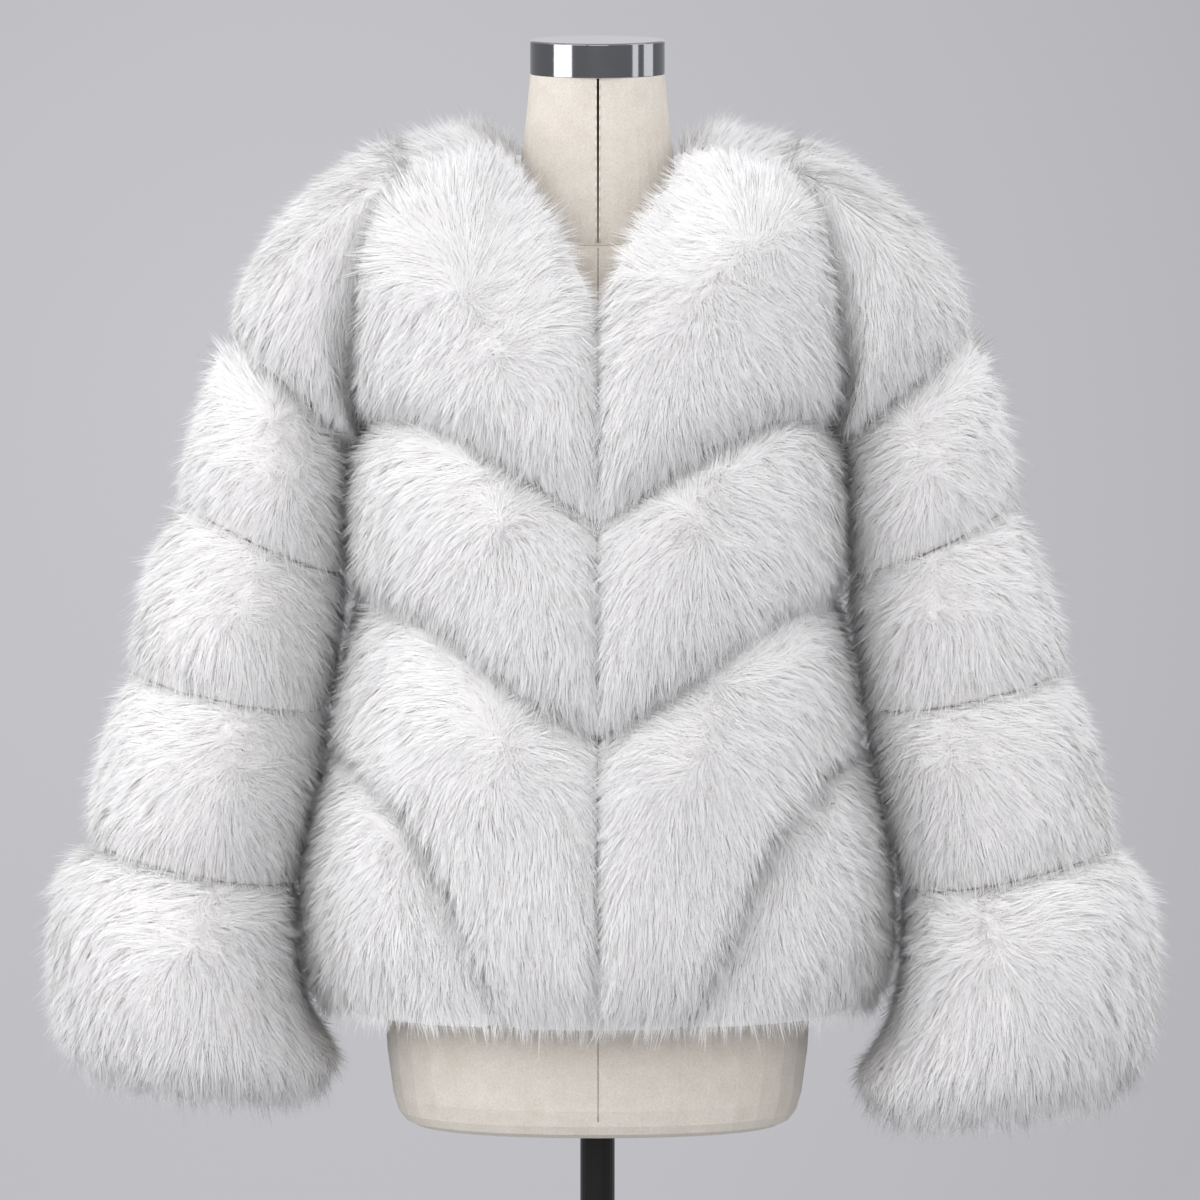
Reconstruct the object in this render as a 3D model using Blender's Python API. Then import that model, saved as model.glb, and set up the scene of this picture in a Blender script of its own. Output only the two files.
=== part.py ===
"""A long-pile faux fur jacket on a limbless dress form, in metres, +Z up.

The jacket faces -Y. Each piece that is cut and sewn is one closed solid: its inside is the lining's
surface and its outside reaches as far as the fur does, so every tier is a lobe with a seam round it.
"Left" and "right" are the viewer's, so left is -X.
"""

import math

import bpy
import numpy as np

# ---------------------------------------------------------------- driving sizes
HALF_GAP = 0.0002  # each of two neighbours stays this far from their seam
ARMHOLE_GAP = 0.0004  # a sleeve's cap stays this far, as its seam isn't square to the sleeve
SEAM_PILE = 0.018  # thickness of the fur at a seam of the body
SHOULDER_PILE = 0.034  # what the shoulders add to it
SHOULDER_END_PILE = 0.013  # what their outer ends add to that
SLEEVE_PILE = 0.016  # thickness of the fur at a seam of a sleeve
SQUARENESS = 2 / 2.3  # power of sine and cosine in the body's sections, 1 for an ellipse

UNDERARM = 1.215  # height of the armhole's lowest point
SIDE_B = 1.070  # heights of the seams B and C on the side of the body
SIDE_C = 0.965
HEM = 0.753
V_BOTTOM = 1.283  # the fronts meet below this height
SHOULDER_FRONT = 1.333  # height of the shoulder seams at the armhole, and of the neck beside them
SHOULDER_BACK = 1.335
NECK_ARCH = 0.001  # rise of a shoulder piece's ends between its front and back seams
ARM_ARCH = 0.004
NECK_FRONT = 1.368
NECK_BACK = 1.372
NECK_BACK_X = 0.062
NAPE = 1.370

# The lining's horizontal sections: half width, depth in front of x-axis, depth behind it
BODY = {
    "z": (0.740, 0.800, 0.860, 0.920, 0.980, 1.040, 1.120, 1.205, 1.240, 1.270, 1.300, 1.335, 1.375),
    "half": (0.180, 0.185, 0.183, 0.172, 0.162, 0.156, 0.153, 0.152, 0.174, 0.184, 0.190, 0.195, 0.195),
    "front": (0.138, 0.139, 0.138, 0.137, 0.136, 0.137, 0.138, 0.134, 0.127, 0.119, 0.101, 0.078, 0.042),
    "back": (0.120, 0.122, 0.120, 0.116, 0.112, 0.112, 0.114, 0.112, 0.109, 0.105, 0.099, 0.088, 0.075),
}

# Seams of the front, as an angle from the centre front and a height
SEAM_A = {"angle": (0, 14, 30, 48, 90), "z": (1.1295, 1.1615, 1.188, 1.204, UNDERARM)}
SEAM_B = {"angle": (0, 15, 45, 75, 90), "z": (0.971, 1.003, 1.054, 1.068, SIDE_B)}
SEAM_C = {
    "angle": (90, 79, 66, 54, 41.5, 30.5, 24, 18.5, 16.5),
    "z": (SIDE_C, 0.957, 0.945, 0.930, 0.900, 0.855, 0.805, 0.771, HEM),
}
ARMHOLE = {
    "angle": (90, 80, 70, 61, 53, 45, 36),
    "z": (UNDERARM, 1.218, 1.234, 1.262, 1.290, 1.316, SHOULDER_FRONT),
}
NECKLINE = {"x": (0, 0.013, 0.024, 0.041, 0.061), "z": (V_BOTTOM, 1.306, 1.325, 1.345, NECK_FRONT)}
# Chevrons of the back: height at the side, drop to the centre back
BACK_SEAMS = {"A": (UNDERARM, 0.085), "B": (SIDE_B, 0.085), "C": (SIDE_C, 0.095), "hem": (HEM, 0.0)}
CHEVRON_POWER = 1.3

# Sleeves: the seam rings, as the outer and the body-side end of each in the front view, half depth
# and middle in Y, and how far the ring dips on the body's side. The last row is the cuff's opening.
SLEEVE = {
    -1: (
        # outer x, outer z, inner x, inner z, half depth, middle y, dip
        (0.253, 1.243, 0.199, 1.205, 0.056, -0.002, 0.020),
        (0.292, 1.124, 0.204, 1.088, 0.060, -0.005, 0.004),
        (0.328, 1.000, 0.216, 0.979, 0.065, -0.008, 0.000),
        (0.358, 0.872, 0.242, 0.849, 0.070, -0.010, 0.000),
        (0.346, 0.697, 0.246, 0.687, 0.058, -0.010, 0.000),
    ),
    1: (
        (0.259, 1.246, 0.199, 1.205, 0.056, -0.002, 0.020),
        (0.292, 1.121, 0.204, 1.086, 0.060, -0.005, 0.004),
        (0.328, 1.000, 0.216, 0.979, 0.065, -0.008, 0.000),
        (0.365, 0.868, 0.246, 0.844, 0.070, -0.010, 0.000),
        (0.356, 0.681, 0.246, 0.670, 0.060, -0.010, 0.000),
    ),
}
SLEEVE_NAMES = ("cap", "ring_1", "ring_2", "ring_3", "cuff")
CAP_BOW = 0.012  # how far the cap bows out over the shoulder
CUFF_INSIDE = 0.036  # crest of a cuff on the body's side
CUFF_INSIDE_RISE = (0.48, 0.70)  # and the shares of its length between which it rises
CUFF_EDGE = 0.25  # share of its length over which it falls to the opening

# The fur's lobes: each piece's crest above its seams' thickness and, for each edge, how far in the
# lobe rises, as a share of the piece, and how much of it is left at the edge
LOBES = {
    # crest, bottom edge, top edge, first side, last side
    "chest": (0.026, (0.30, 0.0), (0.35, 0.3), (0.14, 0.5), (0.24, 0.0)),
    "chevron": (0.024, (0.30, 0.0), (0.50, 0.0), (0.14, 0.5), (0.45, 0.3)),
    "lower": (0.024, (0.20, 0.1), (0.35, 0.0), (0.14, 0.5), (0.22, 0.0)),
    "side": (0.020, (0.25, 0.15), (0.35, 0.2), (0.45, 0.0), (0.45, 1.0)),
    "shoulder": (0.004, (0.50, 0.35), (0.50, 0.35), (0.40, 0.0), (0.30, 0.3)),
    "yoke": (0.024, (0.30, 0.0), (0.35, 0.3), (0.16, 0.0), (0.16, 0.0)),
    "tier": (0.022, (0.30, 0.0), (0.50, 0.0), (0.20, 0.3), (0.20, 0.3)),
    "hem_tier": (0.022, (0.30, 0.0), (0.50, 0.0), (0.20, 0.9), (0.20, 0.9)),
    "cap": (0.022, (0.42, 0.0), (0.40, 0.0), (0.20, 1.0), (0.20, 1.0)),
    "ring": (0.014, (0.42, 0.0), (0.40, 0.0), (0.20, 1.0), (0.20, 1.0)),
    "cuff": (0.045, (0.55, 0.0), (0.30, 0.0), (0.20, 1.0), (0.20, 1.0)),
}
UNDERARM_EASE = 0.8  # the chest's lobe rises this slowly from its underarm corner

# The way that the fur stands: level on the body, up on the shoulders, down in the armpit
SHOULDERS = {"foot": 1.205, "height": 0.13, "rise": 0.030}
BODY_WIDTH = 0.155
SHOULDER_WIDTH = 0.145  # what the shoulders add to it
BODY_DEPTH = 0.130
ARMPIT = {"x": 0.155, "width": 0.035, "depth": 0.055, "height": 0.028, "pull": 1.1}

# Dress form: sections by their height at the middle of the side, how far each drops towards the
# front and how far it rises towards the back
FORM = {
    "z": (0.665, 0.6685, 0.675, 0.687, 0.720, 0.790, 0.870, 0.950, 1.030, 1.100, 1.160, 1.205, 1.240,
          1.270, 1.296, 1.315, 1.3338, 1.3463, 1.3548, 1.3608),
    "half": (0.138, 0.145, 0.150, 0.1535, 0.158, 0.162, 0.156, 0.138, 0.119, 0.128, 0.140, 0.145, 0.150,
             0.1535, 0.1535, 0.147, 0.128, 0.103, 0.079, 0.0600),
    "front": (0.092, 0.099, 0.103, 0.107, 0.112, 0.116, 0.112, 0.102, 0.094, 0.103, 0.118, 0.121, 0.115,
              0.105, 0.092, 0.082, 0.073, 0.067, 0.062, 0.0580),
    "back": (0.089, 0.096, 0.100, 0.104, 0.109, 0.114, 0.108, 0.095, 0.080, 0.086, 0.094, 0.097, 0.096,
             0.092, 0.085, 0.078, 0.071, 0.066, 0.062, 0.0580),
    "drop": (0, 0, 0, 0, 0, 0, 0, 0, 0, 0, 0, 0, 0.001, 0.004, 0.010, 0.016, 0.025, 0.028, 0.0295, 0.0310),
    "rise": (0, 0, 0, 0, 0, 0, 0, 0, 0, 0, 0, 0, 0, 0, 0, 0, 0.001, 0.004, 0.013, 0.0310),
}
FORM_SQUARENESS = 2 / 2.25
NECK = {
    "z": (1.3612, 1.373, 1.394, 1.424, 1.4545),
    "half": (0.0600, 0.0586, 0.0566, 0.0530, 0.0500),
    "front": (0.0580, 0.0565, 0.0545, 0.0510, 0.0480),
    "back": (0.0580, 0.0567, 0.0548, 0.0515, 0.0485),
    "drop": (0.0310, 0.0240, 0.0140, 0.0040, 0.0),
    "rise": (0.0310, 0.0240, 0.0140, 0.0040, 0.0),
}
CAP_RADIUS = 0.0503
CAP_FOOT = 1.4548
CAP_TOP = 1.480
CAP_BEVEL = 0.003
POLE_RADIUS = 0.013
BASE_RADIUS = 0.210
BASE_HEIGHT = 0.006
BASE_CHAMFER = 0.0015
BASE_BEVEL = 0.003
BOSS_RADIUS = 0.026
BOSS_FLARE = 0.008
BOSS_BEVEL = 0.004
BOSS_HEIGHT = 0.030

COLOURS = {
    # linear RGB, metallic, roughness
    "fur": ((0.86, 0.86, 0.87), 0.0, 0.95),
    "linen": ((0.60, 0.55, 0.48), 0.0, 0.90),
    "steel": ((0.62, 0.62, 0.63), 1.0, 0.25),
    "paint": ((0.010, 0.010, 0.010), 0.0, 0.30),
}

# ---------------------------------------------------------------- small tools


def smooth(at, xs, ys):
    """A smooth curve through the table's points that keeps its rises and falls."""
    at, xs, ys = np.asarray(at, float), np.asarray(xs, float), np.asarray(ys, float)
    if xs[0] > xs[-1]:
        xs, ys = xs[::-1], ys[::-1]
    step = np.diff(xs)
    slope = np.diff(ys) / step
    tangent = np.zeros(len(xs))
    same = slope[:-1] * slope[1:] > 0
    mean = 2 * slope[:-1] * slope[1:] / np.where(same, slope[:-1] + slope[1:], 1)
    tangent[1:-1] = np.where(same, mean, 0)
    tangent[0], tangent[-1] = slope[0], slope[-1]
    i = np.clip(np.searchsorted(xs, at) - 1, 0, len(step) - 1)
    t = np.clip((at - xs[i]) / step[i], 0, 1)
    bend = (1 - t) * (tangent[i] - slope[i]) - t * (tangent[i + 1] - slope[i])
    return ys[i] + step[i] * t * (slope[i] + (1 - t) * bend)


def ramp(low, high, at):
    t = np.clip((at - low) / (high - low), 0, 1)
    return t * t * (3 - 2 * t)


def swell(distance, length, floor=0.0):
    """The rounded rise of a lobe's edge: floor at its seam, 1 from `length` on."""
    near = 1 - np.clip(distance / length, 0, 1)
    return floor + (1 - floor) * np.sqrt(1 - near * near)


def lobe(name, across, up):
    """The height of a piece's lobe over its grid."""
    crest, bottom, top, first, last = LOBES[name]
    s, t = across[None, :], up[:, None]
    return crest * swell(t, *bottom) * swell(1 - t, *top) * swell(s, *first) * swell(1 - s, *last)


def unit(vectors):
    return vectors / np.linalg.norm(vectors, axis=-1, keepdims=True)


def blend(bottom, top, left, right, s, t):
    """A grid of points inside four edges, rows from bottom to top. s and t place its lines."""
    s, t = s[None, :, None], t[:, None, None]
    ruled = (1 - t) * bottom[None] + t * top[None]
    across = (1 - s) * left[:, None] + s * right[:, None]
    corners = (1 - t) * ((1 - s) * bottom[0] + s * bottom[-1])
    corners = corners + t * ((1 - s) * top[0] + s * top[-1])
    return ruled + across - corners


def new_object(name, points, faces, colour):
    mesh = bpy.data.meshes.new(name)
    mesh.from_pydata([tuple(p) for p in points], [], faces)
    mesh.validate()
    mesh.shade_smooth()
    mesh.set_sharp_from_angle(angle=math.radians(50))
    mesh.materials.append(make_material(name, *COLOURS[colour]))
    obj = bpy.data.objects.new(name, mesh)
    bpy.context.scene.collection.objects.link(obj)
    return obj


def make_material(name, rgb, metallic, roughness):
    material = bpy.data.materials.new(name)
    material.use_nodes = True
    shader = material.node_tree.nodes["Principled BSDF"]
    shader.inputs["Base Color"].default_value = (*rgb, 1)
    shader.inputs["Metallic"].default_value = metallic
    shader.inputs["Roughness"].default_value = roughness
    return material


# ---------------------------------------------------------------- the body's surface


def lining(angle, z):
    """The inside of the jacket's body: angle in degrees from the centre front towards +X."""
    turn = np.radians(angle)
    half, front, back = (smooth(z, BODY["z"], BODY[key]) for key in ("half", "front", "back"))
    sine, cosine = np.sin(turn), np.cos(turn)
    x = half * np.sign(sine) * np.abs(sine) ** SQUARENESS
    y = np.where(cosine > 0, -front, back) * np.abs(cosine) ** SQUARENESS
    on_side = np.abs(cosine) < 1e-9
    on_centre = np.abs(sine) < 1e-9
    return np.stack([np.where(on_centre, 0, x), np.where(on_side, 0, y), z + 0 * x], axis=-1)


def angle_of(x, z):
    """The angle whose point on the front has this x."""
    share = np.clip(np.asarray(x) / smooth(z, BODY["z"], BODY["half"]), 0, 1)
    return np.degrees(np.arcsin(share ** (1 / SQUARENESS)))


def outward(p):
    """The way that the fur stands on the lining at p."""
    x, y, z = p[..., 0], p[..., 1], p[..., 2]
    above = np.maximum(z - SHOULDERS["foot"], 0)
    width = BODY_WIDTH + SHOULDER_WIDTH * np.clip(above / SHOULDERS["height"], 0, 1)
    way = unit(np.stack([x / width**2, y / BODY_DEPTH**2, above / SHOULDERS["rise"]], axis=-1))
    sideways, ahead = (np.abs(x) - ARMPIT["x"]) / ARMPIT["width"], y / ARMPIT["depth"]
    near = np.exp(-(sideways**2) - ahead**2 - ((z - UNDERARM) / ARMPIT["height"]) ** 2)
    return unit(way - np.stack([0 * x, 0 * x, ARMPIT["pull"] * near], axis=-1))


def seam_pile(p):
    """Thickness of the fur at a seam: deeper on the shoulders than beside the neck or on the body."""
    x, z = np.abs(p[..., 0]), p[..., 2]
    extra = SHOULDER_PILE * ramp(0.052, 0.088, x) + SHOULDER_END_PILE * ramp(0.090, 0.125, x)
    return SEAM_PILE + extra * ramp(1.25, 1.335, z)


def toward(line, inner):
    """Half a gap from each point of a line towards the next line, square to the first."""
    tangent = unit(np.gradient(line, axis=0) + 1e-12)
    way = inner - line
    way = way - (way * tangent).sum(axis=-1, keepdims=True) * tangent
    return unit(way + 1e-12) * HALF_GAP


def inset(grid):
    """The grid with its edges drawn in by half a gap, so that neighbours never touch."""
    drawn = grid.copy()
    for edge, inner in ((0, 1), (-1, -2)):
        drawn[edge] += toward(grid[edge], grid[inner])
        drawn[:, edge] += toward(grid[:, edge], grid[:, inner])
    return drawn


def slab(name, inner, outer, tube=False):
    """A closed wall between two grids of the same size. A tube's columns close on themselves."""
    rows, columns = inner.shape[:2]
    points = np.concatenate([outer.reshape(-1, 3), inner.reshape(-1, 3)])
    half = rows * columns

    def at(i, j, side):
        return side * half + i * columns + j % columns

    spans = columns if tube else columns - 1
    faces = []
    for i in range(rows - 1):
        for j in range(spans):
            faces.append((at(i, j, 0), at(i, j + 1, 0), at(i + 1, j + 1, 0), at(i + 1, j, 0)))
            faces.append((at(i, j, 1), at(i + 1, j, 1), at(i + 1, j + 1, 1), at(i, j + 1, 1)))
    walls = []
    for j in range(spans):
        walls.append((at(0, j + 1, 0), at(0, j, 0), at(0, j, 1), at(0, j + 1, 1)))
        walls.append((at(rows - 1, j, 0), at(rows - 1, j + 1, 0), at(rows - 1, j + 1, 1), at(rows - 1, j, 1)))
    if not tube:
        last = columns - 1
        for i in range(rows - 1):
            walls.append((at(i, 0, 0), at(i + 1, 0, 0), at(i + 1, 0, 1), at(i, 0, 1)))
            walls.append((at(i + 1, last, 0), at(i, last, 0), at(i, last, 1), at(i + 1, last, 1)))
    if sum(six_volumes(points, face) for face in faces + walls) < 0:
        faces = [face[::-1] for face in faces]
        walls = [wall[::-1] for wall in walls]
    for a, b, c, d in walls:
        ways = (((a, b, c), (a, c, d)), ((a, b, d), (b, c, d)))
        faces += min(ways, key=lambda way: sum(six_volumes(points, face) for face in way))
    return new_object(name, points, faces, "fur")


def six_volumes(points, face):
    """Six times the volume between the face and the origin. Of a twisted wall's two splits, the one
    with less volume is hollow, so that two neighbours' walls never cross."""
    first = points[face[0]]
    fans = zip(face[1:], face[2:])
    return sum(float(np.dot(first, np.cross(points[b], points[c]))) for b, c in fans)


# ---------------------------------------------------------------- the body's pieces

ACROSS = np.array([0, 0.035, 0.11, 0.21, 0.32, 0.44, 0.56, 0.68, 0.80, 0.91, 1.0])
CHEST_ROWS = np.linspace(0, 1, 11)
TIER_ROWS = np.array([0, 0.05, 0.16, 0.34, 0.55, 0.78, 0.93, 1.0])
LOWER_SIDE = 3  # rows of the lower front that end on the side seam, above seam C
LOWER_SEAM = 8  # rows of it that end on seam C
SIDE_ROWS = np.linspace(0, 1, LOWER_SEAM + 1)
SIDE_COLUMNS = np.linspace(0, 1, 6)
TIP_SHARE = 0.93  # where the side piece's tip ends, as a share of its last row
SHOULDER_ROWS = np.linspace(0, 1, 5)
BACK_COLUMNS = 24
FINE = 200  # points in a fine edge, from which a share of its length is read


def fine(table, first="angle"):
    """A table's curve as many points (first column, z), scaled so that lengths are real ones."""
    share = np.linspace(0, len(table["z"]) - 1, FINE)
    index = np.arange(len(table["z"]))
    return np.stack([smooth(share, index, table[first]), smooth(share, index, table["z"])], axis=-1)


def on_surface(line, shares):
    """Shares of the length of a line (angle, z), as (angle, z)."""
    body = lining(line[:, 0], line[:, 1])
    steps = np.linalg.norm(np.diff(body, axis=0), axis=1)
    run = np.concatenate([[0], np.cumsum(steps)]) / steps.sum()
    return np.stack([np.interp(shares, run, column) for column in line.T], axis=-1)


def seam(table, shares):
    return on_surface(fine(table), shares)


def straight(start, end, shares):
    shares = np.asarray(shares)[:, None]
    return (1 - shares) * np.array(start) + shares * np.array(end)


def chest_edge():
    """The chest's inner edge: up the centre front, then along the neckline."""
    front = straight((0, SEAM_A["z"][0]), (0, V_BOTTOM), np.linspace(0, 1, 7))
    curve = fine(NECKLINE, "x")
    neck = np.stack([angle_of(curve[:, 0], curve[:, 1]), curve[:, 1]], axis=-1)
    return np.concatenate([front[:-1], on_surface(neck, np.linspace(0, 1, 5))])


def shoulder_line(shares, back=False):
    """The shoulder seam from the neck to the armhole, as (angle, z)."""
    neck_x, neck_z = (NECK_BACK_X, NECK_BACK) if back else (NECKLINE["x"][-1], NECK_FRONT)
    neck = float(angle_of(neck_x, neck_z))
    arm = ARMHOLE["angle"][-1]
    line = straight((neck, neck_z), (arm, SHOULDER_BACK if back else SHOULDER_FRONT), shares)
    if back:
        line[:, 0] = 180 - line[:, 0]
    return line


def armhole(shares, back=False):
    """The armhole from the underarm to the shoulder seam, as (angle, z)."""
    line = seam(ARMHOLE, shares)
    if back:
        line[:, 0] = 180 - line[:, 0]
        line[:, 1] += (SHOULDER_BACK - SHOULDER_FRONT) * np.asarray(shares)
    return line


def mirrored(side, points):
    return points * np.array([side, 1, 1])


def wall(name, side, inner, swelling):
    """A piece from its inner grid, which is drawn in from its seams, and its lobe."""
    inner = inset(inner)
    outer = inner + outward(inner) * (seam_pile(inner) + swelling)[..., None]
    slab(name, mirrored(side, inner), mirrored(side, outer))


def body_piece(name, side, grid, swelling):
    wall(name, side, lining(grid[..., 0], grid[..., 1]), swelling)


def make_chest(side, word):
    bottom, top = seam(SEAM_A, ACROSS), shoulder_line(ACROSS)
    grid = blend(bottom, top, chest_edge(), armhole(CHEST_ROWS), ACROSS, CHEST_ROWS)
    from_underarm = np.hypot(1 - ACROSS[None, :], CHEST_ROWS[:, None])
    height = lobe("chest", ACROSS, CHEST_ROWS) * swell(from_underarm, UNDERARM_EASE)
    body_piece(f"front_{word}_chest", side, grid, height)


def make_chevron(side, word):
    centre = straight((0, SEAM_B["z"][0]), (0, SEAM_A["z"][0]), TIER_ROWS)
    flank = straight((90, SIDE_B), (90, UNDERARM), TIER_ROWS)
    grid = blend(seam(SEAM_B, ACROSS), seam(SEAM_A, ACROSS), centre, flank, ACROSS, TIER_ROWS)
    body_piece(f"front_{word}_chevron", side, grid, lobe("chevron", ACROSS, TIER_ROWS))


def make_lower(side, word):
    rows = np.linspace(0, 1, LOWER_SEAM + LOWER_SIDE + 1)
    flank = straight((90, SIDE_C), (90, SIDE_B), np.linspace(0, 1, LOWER_SIDE + 1)[1:])
    edge = np.concatenate([seam(SEAM_C, 1 - SIDE_ROWS), flank])
    centre = straight((0, HEM), (0, SEAM_B["z"][0]), rows)
    hem = straight((0, HEM), (SEAM_C["angle"][-1], HEM), ACROSS)
    grid = blend(hem, seam(SEAM_B, ACROSS), centre, edge, ACROSS, rows)
    body_piece(f"front_{word}_lower", side, grid, lobe("lower", ACROSS, rows))


def make_side(side, word):
    """The piece beside the lower front. Seam C and the side seam meet at its tip, which is blunt."""
    cut = seam(SEAM_C, 1 - SIDE_ROWS)
    flank = straight((90, HEM), (90, SIDE_C), SIDE_ROWS)
    cut[-1] = straight(cut[-2], cut[-1], [TIP_SHARE])[0]
    flank[-1] = straight(flank[-2], flank[-1], [TIP_SHARE])[0]
    hem = straight(cut[0], flank[0], SIDE_COLUMNS)
    tip = straight(cut[-1], flank[-1], SIDE_COLUMNS)
    grid = blend(hem, tip, cut, flank, SIDE_COLUMNS, SIDE_ROWS)
    body_piece(f"front_{word}_side", side, grid, lobe("side", SIDE_COLUMNS, SIDE_ROWS))


def shoulder_edges():
    """The four edges of a shoulder piece on the lining, in space: front, back, neck, armhole."""
    front = lining(*shoulder_line(ACROSS).T)
    back = lining(*shoulder_line(ACROSS, back=True).T)

    def arch(start, end, height):
        shares = SHOULDER_ROWS[:, None]
        line = (1 - shares) * start + shares * end
        line[:, 2] += height * 4 * SHOULDER_ROWS * (1 - SHOULDER_ROWS)
        return line

    return front, back, arch(front[0], back[0], NECK_ARCH), arch(front[-1], back[-1], ARM_ARCH)


def make_shoulder(side, word):
    front, back, neck, arm = shoulder_edges()
    inner = blend(front, back, neck, arm, ACROSS, SHOULDER_ROWS)
    wall(f"shoulder_{word}", side, inner, lobe("shoulder", ACROSS, SHOULDER_ROWS))


def back_seam(key, shares):
    height, drop = BACK_SEAMS[key]
    angle = 90 + 180 * np.asarray(shares)
    middle = 1 - np.abs(angle - 180) / 90
    return np.stack([angle, height - drop * middle**CHEVRON_POWER], axis=-1)


def make_back():
    around = np.linspace(0, 1, BACK_COLUMNS + 1)
    right = shoulder_line(ACROSS, back=True)[::-1]
    nape = straight(right[-1], (180, NAPE), np.linspace(0, 1, 3))[1:]
    half = np.concatenate([right, nape])
    other = half[::-1][1:] * np.array([-1, 1]) + np.array([360, 0])
    top = np.concatenate([half, other])
    edge = armhole(CHEST_ROWS, back=True)
    opposite = edge * np.array([-1, 1]) + np.array([360, 0])
    grid = blend(back_seam("A", around), top, edge, opposite, around, CHEST_ROWS)
    body_piece("back_yoke", 1, grid, lobe("yoke", around, CHEST_ROWS))
    tiers = (("back_tier_1", "B", "A"), ("back_tier_2", "C", "B"), ("back_tier_3", "hem", "C"))
    for name, low, high in tiers:
        bottom, top = back_seam(low, around), back_seam(high, around)
        left = straight(bottom[0], top[0], TIER_ROWS)
        right = straight(bottom[-1], top[-1], TIER_ROWS)
        grid = blend(bottom, top, left, right, around, TIER_ROWS)
        body_piece(name, 1, grid, lobe("hem_tier" if low == "hem" else "tier", around, TIER_ROWS))


# ---------------------------------------------------------------- the sleeves

TURNS = np.concatenate([-180 + 150 * CHEST_ROWS, [-15, 0, 15, 30], 180 - 150 * CHEST_ROWS[-2:0:-1]])


def armhole_ring():
    """The closed line round the armhole on the lining, from the underarm up the front and down the back."""
    front = lining(*armhole(CHEST_ROWS).T)
    back = lining(*armhole(CHEST_ROWS, back=True).T)[::-1]
    top = shoulder_edges()[3]
    return np.concatenate([front, top[1:], back[1:-1]])


def ring(row):
    """A seam ring of a sleeve: its points, and the way that its fur stands."""
    outer_x, outer_z, inner_x, inner_z, half_depth, middle_y, dip = row
    turn = np.radians(TURNS)
    outer_end = np.array([outer_x, middle_y, outer_z])
    inner_end = np.array([inner_x, middle_y, inner_z])
    middle, reach = (outer_end + inner_end) / 2, (outer_end - inner_end) / 2
    sideways = np.array([0, half_depth, 0])
    points = middle + np.cos(turn)[:, None] * reach + np.sin(turn)[:, None] * sideways
    points[:, 2] -= dip * ((1 - np.cos(turn)) / 2) ** 3
    width = np.linalg.norm(reach)
    ways = np.cos(turn)[:, None] * reach / width**2 + np.sin(turn)[:, None] * sideways / half_depth**2
    return points, unit(ways)


def make_sleeve(side, word):
    start = armhole_ring()
    lines, ways = [start], [outward(start)]
    piles = [seam_pile(start)]
    for row in SLEEVE[side]:
        points, way = ring(row)
        lines.append(points)
        ways.append(way)
        piles.append(np.full(len(points), SLEEVE_PILE))
    facing = 1 - ((1 - np.cos(np.radians(TURNS))) / 2) ** 3
    v = TIER_ROWS[:, None]
    for k, name in enumerate(SLEEVE_NAMES):
        inner = (1 - v[..., None]) * lines[k] + v[..., None] * lines[k + 1]
        way = unit((1 - v[..., None]) * ways[k] + v[..., None] * ways[k + 1])
        pile = (1 - v) * piles[k] + v * piles[k + 1]
        height = lobe(name.split("_")[0], TURNS, TIER_ROWS) * facing
        if name == "cap":
            inner = inner + way * (CAP_BOW * 4 * v * (1 - v) * facing)[..., None]
        if name == "cuff":
            inside = CUFF_INSIDE * ramp(*CUFF_INSIDE_RISE, v) * swell(1 - v, CUFF_EDGE)
            height = height + (1 - facing) * inside
        inner[0] += unit(inner[1] - inner[0]) * (ARMHOLE_GAP if name == "cap" else HALF_GAP)
        if name != "cuff":
            inner[-1] += unit(inner[-2] - inner[-1]) * HALF_GAP
        outer = inner + way * (pile + height)[..., None]
        slab(f"sleeve_{word}_{name}", mirrored(side, inner), mirrored(side, outer), tube=True)


# ---------------------------------------------------------------- the dress form

FORM_SIDES = 36
FORM_COLUMNS = ("half", "front", "back", "z", "drop", "rise")


def turned(name, rings, colour):
    """A solid skinned over closed rings of points, with flat ends."""
    rows, columns = len(rings), len(rings[0])
    points = [tuple(p) for line in rings for p in line]
    faces = [tuple(range(columns))[::-1], tuple((rows - 1) * columns + j for j in range(columns))]
    for i in range(rows - 1):
        for j in range(columns):
            a, b = i * columns + j, i * columns + (j + 1) % columns
            faces.append((a, b, b + columns, a + columns))
    return new_object(name, points, faces, colour)


def oval(half, front, back, z, drop, rise):
    """A section of the form, dropping towards the front and rising towards the back."""
    turn = np.linspace(0, 2 * np.pi, FORM_SIDES, endpoint=False)
    sine, cosine = np.sin(turn), np.cos(turn)
    x = half * np.sign(sine) * np.abs(sine) ** FORM_SQUARENESS
    reach = np.sign(cosine) * np.abs(cosine) ** FORM_SQUARENESS
    ahead, behind = np.maximum(reach, 0), np.maximum(-reach, 0)
    return np.stack([x, back * behind - front * ahead, z - drop * ahead + rise * behind], axis=-1)


def make_form():
    rings = [oval(*row) for row in zip(*(FORM[key] for key in FORM_COLUMNS))]
    turned("form_torso", rings, "linen")
    turned("form_neck", [oval(*row) for row in zip(*(NECK[key] for key in FORM_COLUMNS))], "linen")


def circle(radius, z, sides):
    turn = np.linspace(0, 2 * np.pi, sides, endpoint=False)
    return np.stack([radius * np.sin(turn), -radius * np.cos(turn), z + 0 * turn], axis=-1)


def lathe(name, profile, sides, colour):
    """A turned solid from rows (radius, height), bottom to top."""
    return turned(name, [circle(radius, z, sides) for radius, z in profile], colour)


def rounded(radius, top, bevel, steps):
    """The rows of a rounded upper edge."""
    quarter = np.linspace(0, np.pi / 2, steps + 1)
    return [(radius - bevel + bevel * np.cos(q), top - bevel + bevel * np.sin(q)) for q in quarter]


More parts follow.
